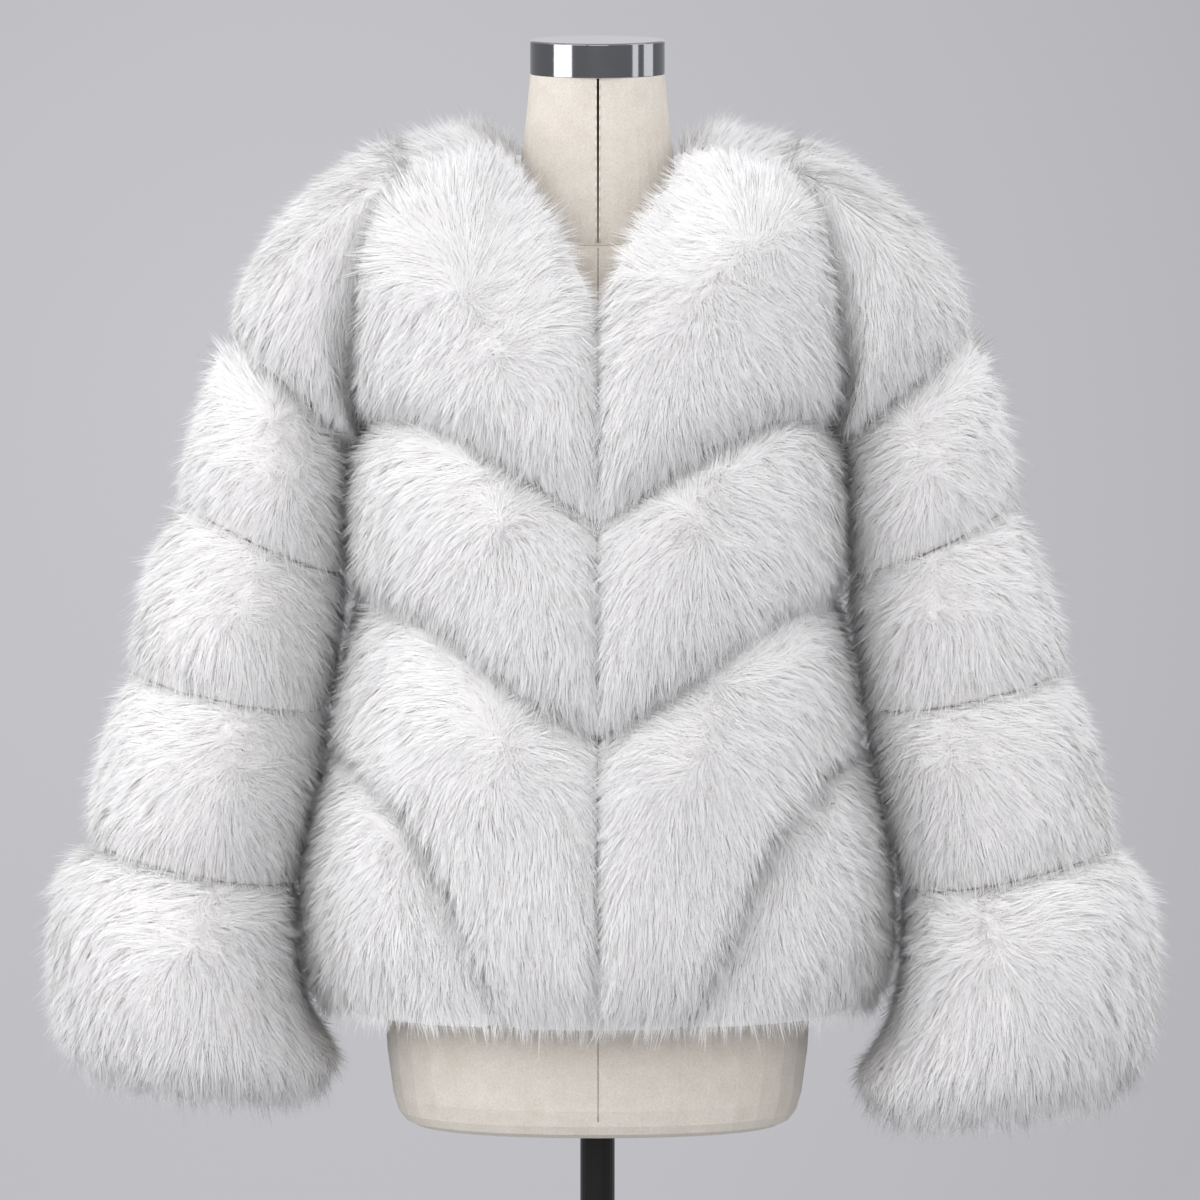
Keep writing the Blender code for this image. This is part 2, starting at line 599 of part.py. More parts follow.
def make_stand():
    cap = [(CAP_RADIUS, CAP_FOOT)] + rounded(CAP_RADIUS, CAP_TOP, CAP_BEVEL, 3)
    lathe("neck_cap", cap, 36, "steel")
    foot = [(BASE_RADIUS - BASE_CHAMFER, 0), (BASE_RADIUS, BASE_CHAMFER)]
    plate = rounded(BASE_RADIUS, BASE_HEIGHT, BASE_BEVEL, 2)
    boss = [(BOSS_RADIUS + BOSS_FLARE, BASE_HEIGHT), (BOSS_RADIUS, BASE_HEIGHT + BOSS_FLARE)]
    boss += rounded(BOSS_RADIUS, BOSS_HEIGHT, BOSS_BEVEL, 2)
    lathe("base_plate", foot + plate + boss, 40, "paint")
    pole = [(POLE_RADIUS, BOSS_HEIGHT + 2 * HALF_GAP), (POLE_RADIUS, FORM["z"][0] - 2 * HALF_GAP)]
    lathe("pole", pole, 24, "paint")


def clear_scene():
    for obj in list(bpy.data.objects):
        bpy.data.objects.remove(obj, do_unlink=True)


clear_scene()
for side, word in ((-1, "left"), (1, "right")):
    make_chest(side, word)
    make_chevron(side, word)
    make_lower(side, word)
    make_side(side, word)
    make_shoulder(side, word)
    make_sleeve(side, word)
make_back()
make_form()
make_stand()
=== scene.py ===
# %% [markdown]
# # A long-pile faux fur jacket on a dress form
#
# The jacket is sewn from pieces of white faux fur. Each piece is a knitted backing with a dense, short
# underfur and long guard hairs in locks. The hairs part at a whorl near the top of the piece, run out
# and down from it, and hang over the seam below, which is why each piece looks like a soft lobe.
#
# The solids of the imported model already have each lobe's outer form, so every layer of the fur is
# worked out from them: the backing from the inside, the underfur a little below the outside, and the
# locks between the underfur and the outside.

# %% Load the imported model
import math

import bmesh
import bpy
import numpy as np
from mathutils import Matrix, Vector
from mathutils.bvhtree import BVHTree


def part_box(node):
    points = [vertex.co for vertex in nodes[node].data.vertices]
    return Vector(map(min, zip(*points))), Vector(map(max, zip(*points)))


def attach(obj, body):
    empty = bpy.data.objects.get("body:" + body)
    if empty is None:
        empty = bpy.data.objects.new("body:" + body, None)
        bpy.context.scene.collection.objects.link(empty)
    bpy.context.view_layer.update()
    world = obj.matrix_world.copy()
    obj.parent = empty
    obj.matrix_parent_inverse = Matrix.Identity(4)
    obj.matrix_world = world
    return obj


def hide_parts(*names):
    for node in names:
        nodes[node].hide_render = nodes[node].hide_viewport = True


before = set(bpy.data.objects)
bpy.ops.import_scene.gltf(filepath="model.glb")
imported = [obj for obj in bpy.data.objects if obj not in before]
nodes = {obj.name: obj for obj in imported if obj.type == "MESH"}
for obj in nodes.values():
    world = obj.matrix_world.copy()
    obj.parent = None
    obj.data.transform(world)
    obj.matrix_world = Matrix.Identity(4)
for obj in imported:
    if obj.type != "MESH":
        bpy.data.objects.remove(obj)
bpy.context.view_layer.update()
fur_nodes = sorted(n for n in nodes if n.split("_")[0] in ("front", "back", "shoulder", "sleeve"))
MM = 0.001
rng = np.random.default_rng(21)

# %% [markdown]
# ## Colours and nodes
#
# Colours are written as sRGB hex values, as a paint card gives them, and Blender wants linear light.
# One helper adds any shader node, sets its properties and links its inputs; another ends a material
# with a Principled shader. Every texture uses Object coordinates.

# %% Helpers for materials


WAVE_UNITS = 20  # a Wave texture multiplies the place by 20, so it repeats after 2 pi of a length


def linear(code):
    """An sRGB hex colour as linear RGBA."""
    srgb = [int(code[i : i + 2], 16) / 255 for i in (1, 3, 5)]
    return tuple(c / 12.92 if c <= 0.04045 else ((c + 0.055) / 1.055) ** 2.4 for c in srgb) + (1.0,)


def add(tree, kind, sockets=None, **settings):
    """Adds a node. A socket takes a value or another node's output; settings are its own properties."""
    node = tree.nodes.new(kind)
    for key, value in settings.items():
        setattr(node, key, value)
    for key, value in (sockets or {}).items():
        if isinstance(value, bpy.types.NodeSocket):
            tree.links.new(value, node.inputs[key])
        else:
            node.inputs[key].default_value = value
    return node


def new_material(name):
    """An empty material, its tree and its output node."""
    material = bpy.data.materials.new(name)
    material.use_nodes = True
    tree = material.node_tree
    tree.nodes.clear()
    return material, tree, tree.nodes.new("ShaderNodeOutputMaterial")


def ramp_of(tree, value, *stops):
    """A colour ramp with its stops, each a position and a hex colour."""
    ramp = add(tree, "ShaderNodeValToRGB", {"Fac": value})
    for i, (position, code) in enumerate(stops):
        element = ramp.color_ramp.elements[i] if i < 2 else ramp.color_ramp.elements.new(position)
        element.position, element.color = position, linear(code)
    return ramp.outputs["Color"]


def noise(tree, size, detail, **more):
    """The level of a noise in Object coordinates whose features are about this many metres across."""
    place = add(tree, "ShaderNodeTexCoord").outputs["Object"]
    sockets = {"Vector": place, "Scale": 1 / size, "Detail": detail, **more}
    return add(tree, "ShaderNodeTexNoise", sockets).outputs["Fac"]


def bumpy(tree, level, strength, distance):
    """A normal from a level, whose bumps are this many metres high."""
    bump = add(tree, "ShaderNodeBump", {"Height": level, "Strength": strength, "Distance": distance})
    return bump.outputs["Normal"]


def finish_material(tree, output, sockets):
    """Ends a material with a Principled shader."""
    shader = add(tree, "ShaderNodeBsdfPrincipled", sockets)
    tree.links.new(shader.outputs["BSDF"], output.inputs["Surface"])


# %% [markdown]
# ## The pile: acrylic guard hairs
#
# Faux fur's hairs are fine acrylic fibres, white, and nearly matt from a few steps away. A real hair
# lets light through; a shader for that takes about a third of the render time here, so the hairs have a
# very pale colour instead, which throws the light on from hair to hair. Each hair has painted shade at
# its root, a little greyer where the underfur shades it, and no two locks have quite the same white.

# %% The pile's material
pile_material, tree, output = new_material("white_acrylic_pile")
# painted shade: the shade attribute makes each hair greyer at its root; each lock's own tone is added to it
shade = add(tree, "ShaderNodeAttribute", attribute_name="shade")
tone = ramp_of(tree, shade.outputs["Fac"], (0.0, "#efedec"), (1.0, "#fdfdfd"))
finish_material(tree, output, {"Base Color": tone, "Roughness": 0.6, "Specular IOR Level": 0.0})

# %% The underfur's material: dense crimped wool, its tufts 3 mm across
underfur_material, tree, output = new_material("white_acrylic_underfur")
tufts = noise(tree, 3 * MM, 3.0)
tone = ramp_of(tree, tufts, (0.2, "#e0dddb"), (0.8, "#f6f5f4"))
wool = {"Base Color": tone, "Roughness": 0.95, "Specular IOR Level": 0.1}
finish_material(tree, output, {**wool, "Normal": bumpy(tree, tufts, 0.8, 2 * MM)})

# %% The backing's material: a warp knit. Real ribs lie 0.8 mm apart; these are drawn 10 mm apart
backing_material, tree, output = new_material("warp_knit_backing")
place = add(tree, "ShaderNodeTexCoord").outputs["Object"]
rib_sockets = {"Vector": place, "Scale": 1 / (1.6 * MM * WAVE_UNITS), "Distortion": 1.5}
ribs = add(tree, "ShaderNodeTexWave", rib_sockets).outputs["Fac"]
tone = ramp_of(tree, ribs, (0.0, "#b9b5b0"), (1.0, "#dedbd6"))
knit_normal = bumpy(tree, ribs, 0.5, 0.4 * MM)
finish_material(tree, output, {"Base Color": tone, "Roughness": 0.9, "Normal": knit_normal})

# %% [markdown]
# ## Taking a piece's solid apart
#
# A piece's solid has an inner side on the lining, an outer side where the hairs end, and narrow walls
# between them at the seams. A person would pick the inner side face by face. Here the pick starts from
# the faces that look straight at the middle of the body or of the sleeve, and grows over every edge
# that isn't sharp. Then the picked faces are separated: they become the backing, and the rest becomes
# the underfur.

# %% Find the inner side of a solid
BODY_AXIS = [(0, 0, 0.6), (0, 0, 1.22)]
SLEEVE_AXIS = [
    (0.13, 0, 1.28),
    (0.20, 0, 1.25),
    (0.25, -0.005, 1.106),
    (0.272, -0.008, 0.99),
    (0.30, -0.01, 0.86),
    (0.30, -0.01, 0.60),
]
SHARP = math.radians(38)  # an edge that bends more than this ends the inner side
SEES_AXIS, STILL_SEES = 0.8, 0.2  # a first face of the inner side, and one that it may grow over


def nearest_on(axis, point):
    """The point of a polyline that is nearest to a point."""
    best = None
    for start, end in zip(axis, axis[1:]):
        start, along = Vector(start), Vector(end) - Vector(start)
        share = min(max((point - start).dot(along) / along.length_squared, 0), 1)
        found = start + along * share
        if best is None or (found - point).length < (best - point).length:
            best = found
    return best


def sees_axis(name, face):
    """How straight a face looks at the middle of the body or of the sleeve, from -1 to 1."""
    if name.startswith("shoulder"):
        return -face.normal.z
    centre = face.calc_center_median()
    if name.startswith("sleeve"):
        side = -1 if "left" in name else 1
        axis = [(side * x, y, z) for x, y, z in SLEEVE_AXIS]
    else:
        axis = BODY_AXIS
    return face.normal.dot((nearest_on(axis, centre) - centre).normalized())


def sides_of(name, mesh):
    """The faces of the inner side and of the outer side; the walls are the rest."""
    sees = {f: sees_axis(name, f) for f in mesh.faces}
    inner = {f for f in mesh.faces if sees[f] > SEES_AXIS}
    front = list(inner)
    while front:
        face = front.pop()
        for edge in face.edges:
            for other in edge.link_faces:
                if other in inner or sees[other] <= STILL_SEES:
                    continue
                if face.normal.angle(other.normal) < SHARP:
                    inner.add(other)
                    front.append(other)
    rim = {v for f in inner for v in f.verts}
    outer = [f for f in mesh.faces if f not in inner and not any(v in rim for v in f.verts)]
    return list(inner), outer


# %% Faces as arrays of numbers


def unit(vectors):
    """Vectors made one long."""
    return vectors / np.maximum(np.linalg.norm(vectors, axis=-1, keepdims=True), 1e-12)


def arrays(faces):
    """Faces as points, corner numbers, smooth normals and areas."""
    verts = sorted({v for f in faces for v in f.verts}, key=lambda v: v.index)
    number = {v: i for i, v in enumerate(verts)}
    points = np.array([v.co for v in verts])
    corners = np.array([[number[v] for v in f.verts] for f in faces])
    a, b, c = (points[corners[:, i]] for i in range(3))
    cross = np.cross(b - a, c - a)
    normals = np.zeros_like(points)
    for i in range(3):
        np.add.at(normals, corners[:, i], cross)
    return points, corners, unit(normals), np.linalg.norm(cross, axis=1) / 2


def surface(points, corners):
    """A search tree of a surface."""
    return BVHTree.FromPolygons([tuple(p) for p in points], [tuple(int(i) for i in c) for c in corners])


def nearest(tree, points):
    """The nearest points on a surface."""
    return np.array([tree.find_nearest(Vector(p))[0] for p in points])


# %% [markdown]
# ## Underfur and backing
#
# The backing is the inner side with a real thickness of 1.2 mm, which Solidify gives it. The underfur
# is the dense short layer that fills the lobe. It is the rest of the solid, sunk towards the backing by
# up to 4 mm, so that the long hairs stand out of it, and rounded by one level of subdivision.

# %% Separate a copy of a node into backing and underfur
SINK = 4.0 * MM  # the underfur lies this far below the hairs' ends
SINK_SHARE = 0.22  # or this share of the fur's depth, where that is less
BACKING = 1.2 * MM
MERGE = 0.02 * MM


def only(piece):
    """Selects one object and nothing else."""
    bpy.ops.object.select_all(action="DESELECT")
    piece.select_set(True)
    bpy.context.view_layer.objects.active = piece


def apply(piece, kind, **settings):
    """Adds a modifier with its settings and applies it."""
    only(piece)
    modifier = piece.modifiers.new(kind.title(), kind)
    for key, value in settings.items():
        setattr(modifier, key, value)
    bpy.ops.object.modifier_apply(modifier=modifier.name)


def separate(name):
    """The underfur, still at its full size, the backing, still thin, and both sides as arrays."""
    underfur = bpy.data.objects.new(f"{name}_underfur", nodes[name].data.copy())
    bpy.context.scene.collection.objects.link(underfur)
    underfur.data.materials.clear()
    only(underfur)
    bpy.ops.object.mode_set(mode="EDIT")
    bpy.ops.mesh.select_mode(type="FACE")
    bpy.ops.mesh.select_all(action="SELECT")
    bpy.ops.mesh.remove_doubles(threshold=MERGE)
    bpy.ops.mesh.select_all(action="DESELECT")
    mesh = bmesh.from_edit_mesh(underfur.data)
    mesh.normal_update()
    mesh.verts.index_update()
    inner, outer = sides_of(name, mesh)
    inner_side, outer_side = arrays(inner), arrays(outer)
    for face in inner:
        face.select_set(True)
    bmesh.update_edit_mesh(underfur.data)
    bpy.ops.mesh.separate(type="SELECTED")
    bpy.ops.object.mode_set(mode="OBJECT")
    backing = next(o for o in bpy.context.selected_objects if o is not underfur)
    backing.name = backing.data.name = f"{name}_backing"
    return underfur, backing, inner_side, outer_side


def finish_fur(piece, name, material):
    """Joins triangles to quads, gives the material, attaches the piece to the root and hides the node it
    replaces.
    """
    only(piece)
    bpy.ops.object.mode_set(mode="EDIT")
    bpy.ops.mesh.select_all(action="SELECT")
    bpy.ops.mesh.tris_convert_to_quads(face_threshold=math.pi, shape_threshold=math.pi)
    bpy.ops.object.mode_set(mode="OBJECT")
    piece.data.materials.append(material)
    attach(piece, "root")
    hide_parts(name)


def sink(underfur, inner_side):
    """Moves the underfur towards the backing, and returns its surface as a search tree."""
    data = underfur.data
    points = np.empty(len(data.vertices) * 3)
    data.vertices.foreach_get("co", points)
    points = points.reshape(-1, 3)
    foot = nearest(surface(*inner_side[:2]), points)
    depth = np.linalg.norm(points - foot, axis=1, keepdims=True)
    points = foot + (points - foot) * (1 - np.minimum(SINK / np.maximum(depth, 1e-9), SINK_SHARE))
    data.vertices.foreach_set("co", points.ravel())
    data.update()
    return surface(points, [p.vertices for p in data.polygons])


# %% [markdown]
# ## Which way the hairs lie
#
# The hairs of a piece run out from its whorl and turn down as they get further from it. A whorl is a
# short line on the piece along which the hairs part; pieces that go round have two. The flow at a point
# is the way from the nearest whorl, turned towards the floor, laid along the surface, and swayed by
# slow waves, since no fur is combed perfectly. Where the surface turns under, the hairs leave it and
# hang.

# %% The whorls of the left side, in millimetres: both ends of each line
WHORLS = {
    "chest": [(-98, -170, 1300, -80, -170, 1262)],
    "chevron": [(-92, -170, 1168, -72, -170, 1130)],
    "lower": [(-88, -170, 1010, -74, -170, 965)],
    "side": [(-150, -140, 950, -150, -140, 905)],
    "shoulder": [(-58, -120, 1350, -58, 60, 1360)],
    "cap": [(-135, -60, 1395, -135, 60, 1395)],
    "ring_1": [(-236, -90, 1200, -244, -90, 1165), (-236, 80, 1200, -244, 80, 1165)],
    "ring_2": [(-250, -90, 1095, -256, -90, 1060), (-250, 80, 1095, -256, 80, 1060)],
    "ring_3": [(-258, -90, 982, -268, -90, 940), (-258, 80, 982, -268, 80, 940)],
    "cuff": [(-276, -110, 866, -290, -110, 810), (-276, 90, 866, -290, 90, 810)],
    "yoke": [(-85, 150, 1330, -85, 150, 1285), (85, 150, 1330, 85, 150, 1285)],
    "tier_1": [(-85, 150, 1170, -85, 150, 1130), (85, 150, 1170, 85, 150, 1130)],
    "tier_2": [(-85, 150, 1045, -85, 150, 1010), (85, 150, 1045, 85, 150, 1010)],
    "tier_3": [(-85, 150, 935, -85, 150, 890), (85, 150, 935, 85, 150, 890)],
}
RIGHT_CHEST = [(111, -170, 1338, 92, -170, 1296)]  # the right chest's whorl sits higher
TURN_LENGTH = 0.11  # over which the hairs turn down
TURN_AT_WHORL, TURN_BEYOND = 0.20, 0.50  # the share that is down at a whorl, and what it gains beyond
SWAY = 0.34
WIDE_SWAY, FINE_SWAY = (0.7, 0.020, 5), (0.6, 0.007, 9)  # share, length of the waves and seed
FUZZ, FUZZ_RADIUS = 1.8, 0.030  # hairs sway more near a whorl
LEAVE = 0.80  # how much of the way off the surface a hair keeps


def whorls_of(name):
    """The whorls of a piece, mirrored for the right side."""
    if name == "front_right_chest":
        return np.array(RIGHT_CHEST) * MM
    key = next(k for k in WHORLS if k in name)
    side = -1 if "right" in name else 1
    return np.array(WHORLS[key]) * [side, 1, 1, side, 1, 1] * MM


def sway(points, length, seed):
    """Slow waves in space, from -1 to 1, as three numbers a point."""
    waves = np.random.default_rng(seed).normal(size=(3, 4, 3)) / length
    phase = np.random.default_rng(seed + 1).uniform(0, 2 * np.pi, size=(3, 4))
    return np.stack([np.sin(points @ waves[k].T + phase[k]).mean(axis=1) for k in range(3)], axis=-1) * 1.4


def flow(points, normals, whorls):
    """The way that the hairs lie, and the distance from the whorl."""
    start, along = whorls[:, :3], whorls[:, 3:] - whorls[:, :3]
    share = np.clip(((points[:, None] - start) * along).sum(-1) / (along**2).sum(-1), 0, 1)
    away = points[:, None] - start - share[..., None] * along
    distance = np.linalg.norm(away, axis=-1)
    way = unit((away / distance[..., None] ** 4).sum(axis=1))
    near = distance.min(axis=1)
    turned = TURN_AT_WHORL + TURN_BEYOND * np.clip(near / TURN_LENGTH, 0, 1)
    turned = turned * np.clip(1.10 - np.maximum(way[:, 2], 0) * 1.5, 0, 1)
    way = way * (1 - turned[:, None]) + np.array([0, 0, -1]) * turned[:, None]
    fuzzy = 1 + FUZZ * np.exp(-((near / FUZZ_RADIUS) ** 2))[:, None]
    (wide, *wide_waves), (fine, *fine_waves) = WIDE_SWAY, FINE_SWAY
    way = way + SWAY * fuzzy * (wide * sway(points, *wide_waves) + fine * sway(points, *fine_waves))
    off = (way * normals).sum(axis=1, keepdims=True)
    way = way - normals * np.where(off < 0, off, (1 - LEAVE) * off)
    return unit(way), near


# %% [markdown]
# ## The locks
#
# Hairs stick together in locks. Each lock starts on the underfur, rises to the outer form and ends in
# points past it, so that it hangs over the seam below. About one lock in six is a guard lock: it is
# short and stands up more, which gives the jacket its spiky outline. A real fibre is 0.05 mm thick, and
# many millions can't be drawn one by one, so each hair here is one triangle, about 0.6 mm wide at its
# root and pointed at its tip. Its normals are the lobe's own, nearly, so that the lobe is shaded as a
# soft round form. Blender's hair curves would do it too, but the exported part needs plain triangles.

# %% Where the locks stand and how long they are
HAIRS_PER_LOCK = 4
HAIRS_PER_M2 = {"front": 640000, "shoulder": 720000, "sleeve": 450000, "back": 280000}
HAIR_LENGTH = (9 * MM, 17 * MM)
RISE = (0.5 * MM, 4.5 * MM)  # how far above the outer form a tip lies
HANG = 4.5 * MM  # how far past its place a tip hangs, on average
HANG_MOST = 14 * MM
GUARD_SHARE = 0.16  # locks that stand away from the form
GUARD_RISE = (4.0 * MM, 10.0 * MM)
GUARD_LENGTH = 8 * MM  # how far back along the form such a lock starts
GROW, GROW_FROM = 0.06, 0.40  # hairs are this short at a whorl, and full at this distance from it
DROOP, DROOP_FROM = 0.05, 0.2  # and so with how far they hang


def spread_tips(name, outer_side):
    """Places on the outer form, and its smooth normals there."""
    points, corners, normals, areas = outer_side
    count = int(HAIRS_PER_M2[name.split("_")[0]] / HAIRS_PER_LOCK * areas.sum())
    picked = rng.choice(len(areas), size=count, p=areas / areas.sum())
    u, v = rng.random(count), rng.random(count)
    over = u + v > 1
    u[over], v[over] = 1 - u[over], 1 - v[over]
    shares = np.stack([1 - u - v, u, v], axis=-1)[..., None]
    spots, facing = (points[corners[picked]] * shares).sum(axis=1), normals[corners[picked]] * shares
    return spots, unit(facing.sum(axis=1))


def lock_lines(name, outer_side, under_tree):
    """Root and tip of each lock, with the outer form's normal and the hairs' way."""
    tip, normal = spread_tips(name, outer_side)
    count = len(tip)
    way, near = flow(tip, normal, whorls_of(name))
    guard = rng.random(count) < GUARD_SHARE
    full = np.where(guard, GUARD_LENGTH, rng.uniform(*HAIR_LENGTH, size=count))
    length = full * np.clip(GROW_FROM + near / GROW, 0, 1)
    root = nearest(under_tree, tip - way * length[:, None])
    hang = np.minimum(rng.exponential(HANG, size=count), HANG_MOST) * np.clip(near / DROOP, DROOP_FROM, 1)
    rise = rng.uniform(*RISE, size=count) + guard * rng.uniform(*GUARD_RISE, size=count)
    return root, tip + normal * rise[:, None] + way * hang[:, None], normal, way


# %% The hairs of the locks
LOCK_RADIUS = 2.6 * MM
CLOSE_UP = 0.80  # how far apart a lock's tips are, as a share of its roots
HAIR_WIDTH = 0.60 * MM
LOCK_FLATNESS = 0.3  # a lock's depth as a share of its width
STAGGER = 2.5 * MM  # how far a lock's hairs start before or behind each other
WILD_SHARE = 0.25  # hairs that leave their lock
WILD_STRAY, TAME_STRAY = 2.6 * MM, 0.7 * MM
ROLL = 0.5  # radians by which a hair's blade turns about its own length
WIDTH_RANGE = (0.6, 1.2)  # of the hair's width
# painted shade: a hair's root is greyer than its tip; the spread is each lock's and hair's own tone
ROOT_SHADE, TIP_SHADE, SHADE_SPREAD = 0.1, 0.95, 0.06
FOLLOW_FORM = 0.96  # how far a hair is lit as the lobe is, and not as a flat blade


def hairs_of(root, tip, normal, way):
    """Each hair's three corners, its normal, and its painted root shade and own tone at each corner."""
    locks = len(root)
    each = np.repeat(np.arange(locks), HAIRS_PER_LOCK)
    count = len(each)
    across = unit(np.cross(way, normal))[each]
    turn, reach = rng.uniform(0, 2 * np.pi, count), np.sqrt(rng.random(count)) * LOCK_RADIUS
    deep = np.sin(turn) * reach * LOCK_FLATNESS
    offset = across * (np.cos(turn) * reach)[:, None] + normal[each] * deep[:, None]
    along = way[each] * rng.normal(0, STAGGER, size=(count, 1))
    wild = (rng.random(count) < WILD_SHARE)[:, None]
    stray = rng.normal(size=(count, 3)) * np.where(wild, WILD_STRAY, TAME_STRAY)
    start = root[each] + offset + along
    end = tip[each] + offset * CLOSE_UP + along * 0.5 + stray
    roll = rng.normal(0, ROLL, size=(count, 1))
    half = unit(across * np.cos(roll) + normal[each] * np.sin(roll)) * HAIR_WIDTH / 2
    half = half * rng.uniform(*WIDTH_RANGE, size=(count, 1))
    blade = unit(np.cross(half, end - start))
    blade = blade * np.sign((blade * normal[each]).sum(axis=1, keepdims=True))
    lit = unit(FOLLOW_FORM * normal[each] + (1 - FOLLOW_FORM) * blade)
    tone = rng.normal(0.0, SHADE_SPREAD, locks)[each] + rng.normal(0.0, SHADE_SPREAD, count)
    shade = np.clip(np.stack([ROOT_SHADE + tone, ROOT_SHADE + tone, TIP_SHADE + tone], axis=1), 0, 1)
    return np.stack([start - half, start + half, end], axis=1), lit, shade


def build_pile(name, corners, lit, shade):
    """One mesh of all hairs of a piece, a triangle each."""
    count = len(corners)
    mesh = bpy.data.meshes.new(name)
    mesh.vertices.add(count * 3)
    mesh.vertices.foreach_set("co", corners.reshape(-1).astype(np.float32))
    mesh.loops.add(count * 3)
    mesh.loops.foreach_set("vertex_index", np.arange(count * 3, dtype=np.int32))
    mesh.polygons.add(count)
    mesh.polygons.foreach_set("loop_start", np.arange(0, count * 3, 3, dtype=np.int32))
    mesh.update(calc_edges=True)
    shades = mesh.attributes.new("shade", "FLOAT", "POINT")
    shades.data.foreach_set("value", shade.ravel().astype(np.float32))
    mesh.shade_smooth()
    mesh.normals_split_custom_set_from_vertices(np.repeat(lit, 3, axis=0).astype(np.float32))
    mesh.materials.append(pile_material)
    pile = bpy.data.objects.new(name, mesh)
    bpy.context.scene.collection.objects.link(pile)
    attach(pile, "root")
    return pile


# %% [markdown]
# ## The cut
#
# Every piece of fur is cut flat from the cloth and sewn to its neighbours. Its flat size is measured
# round the inner side, across and down, and a sleeve's piece is a band that goes all round the arm.

# %% Flat sizes in metres, across and down
CUT = {
    "chest": (0.255, 0.280),
    "chevron": (0.260, 0.160),
    "lower": (0.260, 0.405),
    "side": (0.195, 0.295),
    "shoulder": (0.075, 0.140),
    "left_cap": (0.480, 0.165),
    "left_ring_1": (0.340, 0.125),
    "left_ring_2": (0.380, 0.130),
    "left_ring_3": (0.405, 0.135),
    "left_cuff": (0.405, 0.175),
    "right_cap": (0.480, 0.170),
    "right_ring_1": (0.340, 0.130),
    "right_ring_2": (0.380, 0.125),
    "right_ring_3": (0.410, 0.140),
    "right_cuff": (0.410, 0.185),
    "yoke": (0.465, 0.245),
    "tier_1": (0.465, 0.145),
    "tier_2": (0.500, 0.115),
    "tier_3": (0.505, 0.215),
}


# %% Make every piece of fur
fur = {}
for name in fur_nodes:
    underfur, backing, inner_side, outer_side = separate(name)
    under_tree = sink(underfur, inner_side)
    finish_fur(underfur, name, underfur_material)
    apply(underfur, "SUBSURF", levels=1, render_levels=1)
    underfur.data.shade_smooth()
    finish_fur(backing, name, backing_material)
    apply(backing, "SOLIDIFY", thickness=BACKING, offset=-1)
    backing.data.shade_smooth()
    pile = build_pile(f"{name}_pile", *hairs_of(*lock_lines(name, outer_side, under_tree)))
    fur[name] = (underfur, backing, pile)

for name, (underfur, backing, pile) in fur.items():
    width, length = CUT[next(k for k in CUT if k in name)]
print(sum(len(pile.data.polygons) for _, _, pile in fur.values()), "hairs")

# %% [markdown]
# ## The dress form's cover
#
# The torso and neck are covered in a plain beige linen blend, stretched smooth. Close up it is matte and
# mottled, with slightly fuzzy threads 0.5 mm apart, drawn at 1.5 mm so that they show. The front edges
# of the neck's cover meet at a narrow gap, bound on both sides in a pale thread; the shade inside the gap
# is painted as a black strip. A seam runs down the middle of the torso from there, and its shadow is
# painted as a darker strip of linen.

# %% Linen
linen_material, tree, output = new_material("beige_linen_cover")
grain = noise(tree, 1.5 * MM, 4.0, Roughness=0.65)
slubs = noise(tree, 16 * MM, 3.0)
thread = ramp_of(tree, grain, (0.30, "#c8c1b7"), (0.70, "#dad5cd"))
mottle = ramp_of(tree, slubs, (0.25, "#f5f2ef"), (0.75, "#ffffff"))
cloth = add(tree, "ShaderNodeMix", data_type="RGBA", blend_type="MULTIPLY")
cloth.inputs["Factor"].default_value = 1.0
tree.links.new(thread, cloth.inputs[6])
tree.links.new(mottle, cloth.inputs[7])
weave = {
    "Base Color": cloth.outputs[2],
    "Roughness": 0.92,
    "Specular IOR Level": 0.15,
    "Sheen Weight": 0.15,
    "Sheen Roughness": 0.6,
    "Normal": bumpy(tree, grain, 0.25, 0.3 * MM),
}
finish_material(tree, output, weave)


def dress(name, material):
    """Gives a node that keeps its own shape its material."""
    nodes[name].data.materials.clear()
    nodes[name].data.materials.append(material)


dress("form_torso", linen_material)
dress("form_neck", linen_material)

# %% The gap's painted shade as a black strip, the thread beside it and the seam's painted shadow
# painted shade: a black strip stands for the shade inside the narrow gap
gap_shade_material, tree, output = new_material("black_painted_gap_shade")
tone = ramp_of(tree, noise(tree, 0.6 * MM, 2.0), (0.3, "#0b0a09"), (0.8, "#2a2521"))
finish_material(tree, output, {"Base Color": tone, "Roughness": 1.0, "Specular IOR Level": 0.0})

thread_material, tree, output = new_material("spun_cotton_thread")
place = add(tree, "ShaderNodeTexCoord").outputs["Object"]
twist_sockets = {"Vector": place, "Scale": 1 / (1.2 * MM * WAVE_UNITS)}
twist = add(tree, "ShaderNodeTexWave", twist_sockets, bands_direction="Z").outputs["Fac"]
tone = ramp_of(tree, twist, (0.0, "#c6bcb0"), (1.0, "#e6dfd6"))
finish_material(tree, output, {"Base Color": tone, "Roughness": 0.85, "Specular IOR Level": 0.2})

seam_shadow_material, tree, output = new_material("linen_seam_painted_shadow")
# painted shadow: the seam's fold is drawn as a darker strip of linen colour
tone = ramp_of(tree, noise(tree, 3 * MM, 2.0), (0.3, "#8f8579"), (0.7, "#b0a699"))
finish_material(tree, output, {"Base Color": tone, "Roughness": 0.95, "Specular IOR Level": 0.1})

# %% [markdown]
# Each of them is a narrow ribbon that lies on the form. A flat strip is made in front of the form, its
# lower end is narrowed, its long edges are cut into many short ones, Shrinkwrap lays it on the form,
# and Solidify gives it its thickness.

# %% Lay a ribbon on the form
STAND_OFF = 5 * MM  # the strip starts this far in front of the form
STEP = 4 * MM  # length of one short edge


